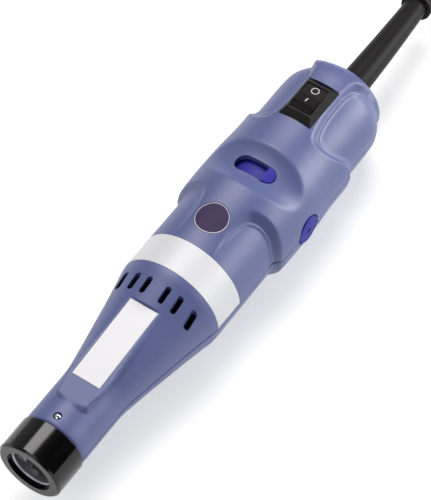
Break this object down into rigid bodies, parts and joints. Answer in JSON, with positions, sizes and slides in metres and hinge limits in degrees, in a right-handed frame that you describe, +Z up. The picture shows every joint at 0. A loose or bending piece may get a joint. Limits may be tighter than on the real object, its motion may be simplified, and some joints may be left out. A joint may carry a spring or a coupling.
{
  "type": "handheld homogenizer",
  "caption": "Slim handheld rotary homogenizer drive with a plug-in probe socket at the nose, thumb speed slider, rocker switch, side button and mains lead",
  "frame": {"origin": "centre of the black nose ring's front face, on the spindle axis", "axes": "+Y runs along the tool from the nose to the tail, +Z is up through the rocker switch, +X is the side with the round button"},
  "size_m": [0.0569, 0.492, 0.0522],
  "materials": {
    "shell_blue": "satin moulded",
    "collar_black": "gloss",
    "turned_steel": "turned",
    "spring_steel": "drawn",
    "screw_steel": "zinc",
    "aluminium": "machined",
    "lamination": "varnished laminations",
    "copper": "enamelled copper",
    "brass": "plain",
    "carbon": "carbon",
    "inner_black": "matte",
    "switch_black": "satin",
    "control_blue": "satin",
    "board_green": "lacquered",
    "capacitor_yellow": "gloss",
    "wire_blue": "satin",
    "wire_brown": "satin",
    "label_white": "satin film",
    "badge_purple": "satin film",
    "rubber_black": "satin",
    "cord_grey": "satin",
    "tie_black": "woven strap",
    "plug_black": "satin",
    "pin_nickel": "nickel plated"
  },
  "bodies": {
    "body": {"upper_shell": "shell_blue", "lower_shell": "shell_blue", "shell_screws": "screw_steel", "nose_collar": "collar_black", "socket_sleeve": "turned_steel", "ball_spring": "spring_steel", "spindle_bearings": "turned_steel", "bearing_spacer": "aluminium", "bearing_clip": "spring_steel", "front_bearing": "turned_steel", "rear_bearing": "turned_steel", "bearing_bush": "rubber_black", "motor_bracket": "aluminium", "field_core": "lamination", "field_coils": "copper", "air_baffle": "inner_black", "brush_holders": "brass", "carbon_brushes": "carbon", "brush_springs": "spring_steel", "switch_body": "switch_black", "switch_terminals": "brass", "slide_potentiometer": "inner_black", "button_spring": "spring_steel", "button_switch": "inner_black", "circuit_board": "board_green", "board_screws": "screw_steel", "heat_sink": "aluminium", "suppression_capacitor": "capacitor_yellow", "choke": "copper", "cord_clamp": "inner_black", "clamp_screws": "screw_steel", "lead_inner": "cord_grey", "supply_wires": "wire_blue", "motor_wires": "wire_brown", "band_label": "label_white", "nose_label": "label_white", "badge": "badge_purple", "rating_label": "label_white", "cord_boot": "rubber_black", "cord_lead": "cord_grey", "cord_hank": "cord_grey", "cord_tail": "cord_grey", "cord_tie": "tie_black", "plug_body": "plug_black", "plug_pins": "pin_nickel"},
    "rotor": {"drive_dogs": "turned_steel", "spindle": "turned_steel", "spindle_coupling": "aluminium", "motor_shaft": "turned_steel", "cooling_fan": "inner_black", "armature_core": "lamination", "armature_windings": "copper", "commutator": "copper"},
    "rocker": {"switch_rocker": "switch_black"},
    "slider": {"speed_slider": "control_blue"},
    "button": {"run_button": "control_blue"},
    "ball": {"snap_ball": "turned_steel"}
  },
  "joints": [
    {"name": "rotor_spin", "type": "hinge", "parent": "body", "child": "rotor", "pos_m": [0, 0.1, 0], "axis": [0, 1, 0], "continuous": true},
    {"name": "rocker_tilt", "type": "hinge", "parent": "body", "child": "rocker", "pos_m": [0, 0.1875, 0.0199], "axis": [1, 0, 0], "range_deg": [0, 22.2]},
    {"name": "speed_slide", "type": "hinge", "parent": "body", "child": "slider", "pos_m": [0, 0.1495, 0], "axis": [0, 1, 0], "range_deg": [-28, 0]},
    {"name": "button_press", "type": "slide", "parent": "body", "child": "button", "axis": [-1, 0, 0], "range_m": [0, 0.0015], "stiffness_N_per_m": 800, "deforming": ["button_spring"]},
    {"name": "ball_press", "type": "slide", "parent": "body", "child": "ball", "axis": [0, 0, -1], "range_m": [0, 0.0006], "stiffness_N_per_m": 800, "deforming": ["ball_spring"]}
  ]
}
